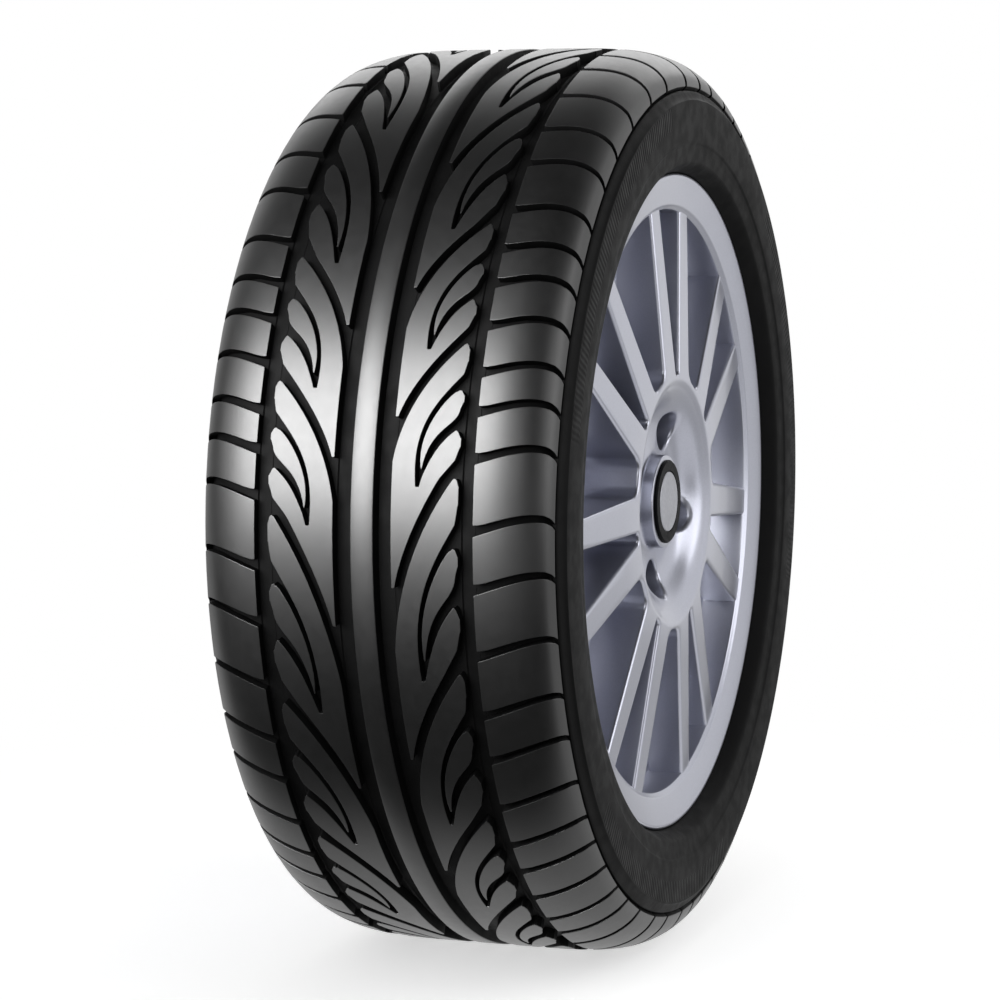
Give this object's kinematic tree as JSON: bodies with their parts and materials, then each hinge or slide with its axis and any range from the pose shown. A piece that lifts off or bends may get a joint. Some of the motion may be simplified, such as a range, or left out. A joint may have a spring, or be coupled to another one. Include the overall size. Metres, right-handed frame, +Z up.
{
  "type": "car tyre on alloy wheel",
  "caption": "Low-profile car tyre with a directional tread of curved leaf grooves, mounted on a silver cast wheel with paired spokes, a centre cap and a valve.",
  "frame": {"origin": "on the spin axis, in the middle plane of the tyre and rim", "axes": "Y along the spin axis with the outer face towards -Y, +Z up; the tread seen in the picture faces -X"},
  "size_m": [0.648, 0.252, 0.648],
  "materials": {
    "tyre": "satin black rubber",
    "wheel_silver": "silver painted cast aluminium under clear lacquer",
    "cap_black": "gloss black",
    "cap_silver": "satin silver",
    "valve_rubber": "matt black rubber",
    "valve_brass": "machined",
    "valve_plastic": "moulded black"
  },
  "bodies": {
    "root": {"tyre": "tyre", "wheel": "wheel_silver", "centre_cap": "cap_black", "cap_disc": "cap_silver", "valve_stem": "valve_rubber", "valve_tube": "valve_brass", "valve_core": "valve_brass", "valve_cap": "valve_plastic"}
  },
  "joints": []
}
